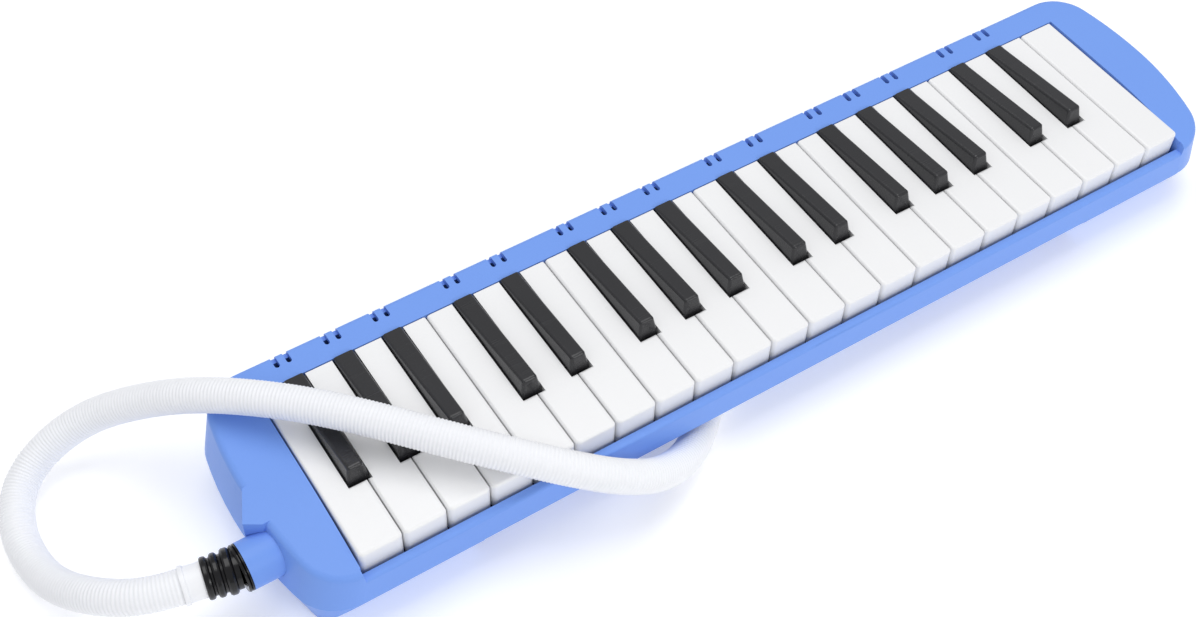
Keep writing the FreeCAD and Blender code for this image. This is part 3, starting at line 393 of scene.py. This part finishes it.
class MelodicaHose(bpy.types.PropertyGroup):
    diameter: FloatProperty(name="Diameter", description="Outside diameter over the ribs",
                            default=0.0136, min=0.004, unit="LENGTH")
    rib_pitch: FloatProperty(name="Rib pitch", description="Distance from rib to rib",
                             default=0.00145, min=0.0005, unit="LENGTH")
    rib_depth: FloatProperty(name="Rib depth", description="Depth of the grooves between ribs",
                             default=0.00036, min=0.0, unit="LENGTH")
    sides: IntProperty(name="Sides", description="Points round one ring", default=24, min=8)
    colour: FloatVectorProperty(name="Colour", description="Cool white of the hose", size=3,
                                subtype="COLOR", default=(0.92, 0.925, 0.95))


class MelodicaStage(bpy.types.PropertyGroup):
    floor: FloatVectorProperty(name="Floor", description="Colour of the paper floor", size=3,
                               subtype="COLOR", default=(0.90, 0.90, 0.905))
    glow: FloatProperty(name="Glow", description="How far the paper is lit from behind",
                        default=0.26, min=0.0)
    floor_size: FloatProperty(name="Floor size", description="Width of the floor", default=30.0,
                              min=1.0, unit="LENGTH")
    sky: FloatProperty(name="Sky", description="Strength of the light from all round",
                       default=0.55, min=0.0)
    key_power: FloatProperty(name="Key light", description="Power of the large soft light above",
                             default=21.0, min=0.0, unit="POWER")
    lens: FloatProperty(name="Lens", description="Focal length of the camera in millimetres",
                        default=51.12, min=10.0)


SETTINGS = {
    "melodica_case": MelodicaCase,
    "melodica_keys": MelodicaKeys,
    "melodica_hose": MelodicaHose,
    "melodica_stage": MelodicaStage,
}


# ---------------------------------------------------------------- operators


class MELODICA_OT_case(bpy.types.Operator):
    """Dress the two halves of the case and the hose socket"""

    bl_idname = "melodica.case"
    bl_label = "Case"

    def execute(self, context):
        look = context.scene.melodica_case
        blue = moulded_plastic("case_plastic", look.colour, look.shade, look.roughness, 0.12)
        dress(blue, "upper_case", "lower_case", "air_inlet", "drain_button")
        return {"FINISHED"}


class MELODICA_OT_white_keys(bpy.types.Operator):
    """Dress the white keys"""

    bl_idname = "melodica.white_keys"
    bl_label = "White keys"

    def execute(self, context):
        look = context.scene.melodica_keys
        shade = [level * 0.97 for level in look.white]
        ivory = moulded_plastic("white_key_plastic", look.white, shade, 0.30, grain=1300.0)
        dress(ivory, *numbered("white_key"))
        return {"FINISHED"}


class MELODICA_OT_black_keys(bpy.types.Operator):
    """Dress the black keys"""

    bl_idname = "melodica.black_keys"
    bl_label = "Black keys"

    def execute(self, context):
        look = context.scene.melodica_keys
        shade = [level * 0.7 for level in look.black]
        ebony = moulded_plastic("black_key_plastic", look.black, shade, 0.27, grain=1500.0,
                                grain_depth=0.00016)
        dress(ebony, *numbered("black_key"))
        return {"FINISHED"}


class MELODICA_OT_wind_box(bpy.types.Operator):
    """Dress the reed block, wind box, plates, reeds and gasket"""

    bl_idname = "melodica.wind_box"
    bl_label = "Wind box and reeds"

    def execute(self, context):
        grey = moulded_plastic("inner_plastic", srgb(214, 216, 220), srgb(204, 207, 212), 0.45)
        dress(grey, "reed_block", "air_box", "key_guide_comb")
        plate = brushed_metal("plate_aluminium", (0.78, 0.79, 0.80), (0.62, 0.63, 0.65), 0.35)
        dress(plate, "reed_plate_low", "reed_plate_high")
        brass = brushed_metal("reed_brass", (0.80, 0.58, 0.24), (0.55, 0.36, 0.13), 0.28)
        dress(brass, "reeds", "reed_rivets")
        dress(soft_rubber("seal_rubber", (0.035, 0.035, 0.037), (0.08, 0.08, 0.08)),
              "chamber_gasket", "drain_seal")
        return {"FINISHED"}


class MELODICA_OT_action(bpy.types.Operator):
    """Dress the axle, springs, screws and felt"""

    bl_idname = "melodica.action"
    bl_label = "Key action"

    def execute(self, context):
        steel = brushed_metal("plated_steel", (0.66, 0.67, 0.68), (0.48, 0.48, 0.47), 0.30,
                              (0.03, 1.0, 1.0))
        dress(steel, "key_axle", "case_screws", "chamber_screws")
        spring = brushed_metal("spring_steel", (0.50, 0.51, 0.53), (0.36, 0.34, 0.33), 0.33)
        dress(spring, "key_springs", "drain_spring")
        dress(wool_felt("stop_felt", (0.42, 0.03, 0.04), (0.20, 0.012, 0.016)), "key_stop_felt")
        return {"FINISHED"}


class MELODICA_OT_connector(bpy.types.Operator):
    """Dress the black rubber neck between the socket and the hose"""

    bl_idname = "melodica.connector"
    bl_label = "Rubber neck"

    def execute(self, context):
        rubber = soft_rubber("neck_rubber", (0.005, 0.005, 0.006), (0.012, 0.012, 0.014), 0.22)
        dress(rubber, "hose_connector")
        return {"FINISHED"}


class MELODICA_OT_hose(bpy.types.Operator):
    """Make the ribbed hose along its route"""

    bl_idname = "melodica.hose"
    bl_label = "Hose"

    def execute(self, context):
        sizes = context.scene.melodica_hose
        # A darker white, used for random clouds in the tubing and as painted shade in the grooves.
        cloud_and_groove_shade = [level * share for level, share in zip(sizes.colour, (0.88, 0.89, 0.92))]
        white = hose_plastic(sizes.colour, cloud_and_groove_shade)
        bm, path, length = ribbed_hose(sizes)
        hose = make_piece(bm, "hose", white, "hose_tube")
        dress(white, "hose_cuff", "mouthpiece")
        return {"FINISHED"}


class MELODICA_OT_stage(bpy.types.Operator):
    """Make the floor, the lights and the camera"""

    bl_idname = "melodica.stage"
    bl_label = "Stage"

    def execute(self, context):
        look = context.scene.melodica_stage
        self.floor(look)
        self.lights(look)
        self.camera(look)
        return {"FINISHED"}

    def floor(self, look):
        bm = bmesh.new()
        bmesh.ops.create_grid(bm, x_segments=1, y_segments=1, size=look.floor_size / 2,
                              matrix=Matrix.Translation((0, 0, -FLOOR_GAP)))
        mesh = bpy.data.meshes.new("studio_floor")
        bm.to_mesh(mesh)
        bm.free()
        mesh.materials.append(studio_floor(look.floor, look.glow))
        floor = bpy.data.objects.new("studio_floor", mesh)
        bpy.context.scene.collection.objects.link(floor)

    def lights(self, look):
        world = bpy.data.worlds.new("studio")
        world.use_nodes = True
        sky = world.node_tree.nodes["Background"]
        sky.inputs["Color"].default_value = (0.97, 0.98, 1.0, 1.0)
        sky.inputs["Strength"].default_value = look.sky
        bpy.context.scene.world = world
        for name, place, size, share in SOFTBOXES:
            light = bpy.data.lights.new(name, "AREA")
            light.shape = "SQUARE"
            light.size = size
            light.energy = look.key_power * share
            lamp = bpy.data.objects.new(name, light)
            lamp.location = place
            lamp.rotation_mode = "QUATERNION"
            lamp.rotation_quaternion = (-Vector(place)).to_track_quat("-Z", "Y")
            bpy.context.scene.collection.objects.link(lamp)

    def camera(self, look):
        lens = bpy.data.cameras.new("camera")
        lens.lens = look.lens
        lens.sensor_width = 36.0
        lens.clip_start = 0.01
        lens.clip_end = 100.0
        camera = bpy.data.objects.new("camera", lens)
        roll = Quaternion((0, 0, 1), math.radians(CAMERA_ROLL))
        camera.rotation_mode = "QUATERNION"
        camera.location = CAMERA_PLACE
        camera.rotation_quaternion = (CAMERA_AIM - CAMERA_PLACE).to_track_quat("-Z", "Y") @ roll
        bpy.context.scene.collection.objects.link(camera)
        bpy.context.scene.camera = camera
        bpy.context.scene.view_settings.view_transform = "Standard"


OPERATORS = (
    MELODICA_OT_stage,
    MELODICA_OT_hose,
    MELODICA_OT_connector,
    MELODICA_OT_case,
    MELODICA_OT_white_keys,
    MELODICA_OT_black_keys,
    MELODICA_OT_action,
    MELODICA_OT_wind_box,
)


class MELODICA_PT_panel(bpy.types.Panel):
    """The melodica's settings and makers"""

    bl_label = "Melodica"
    bl_idname = "MELODICA_PT_panel"
    bl_space_type = "VIEW_3D"
    bl_region_type = "UI"
    bl_category = "Melodica"

    def draw(self, context):
        for operator in OPERATORS:
            self.layout.operator(operator.bl_idname)
        for name, group in SETTINGS.items():
            box = self.layout.box()
            settings = getattr(context.scene, name)
            for field in group.__annotations__:
                box.prop(settings, field)


def register():
    for name, group in SETTINGS.items():
        bpy.utils.register_class(group)
        setattr(bpy.types.Scene, name, PointerProperty(type=group))
    for operator in OPERATORS:
        bpy.utils.register_class(operator)
    bpy.utils.register_class(MELODICA_PT_panel)


def unregister():
    bpy.utils.unregister_class(MELODICA_PT_panel)
    for operator in reversed(OPERATORS):
        bpy.utils.unregister_class(operator)
    for name, group in SETTINGS.items():
        delattr(bpy.types.Scene, name)
        bpy.utils.unregister_class(group)


def main():
    register()
    for operator in OPERATORS:
        group, name = operator.bl_idname.split(".")
        getattr(getattr(bpy.ops, group), name)()


if __name__ == "__main__":
    main()
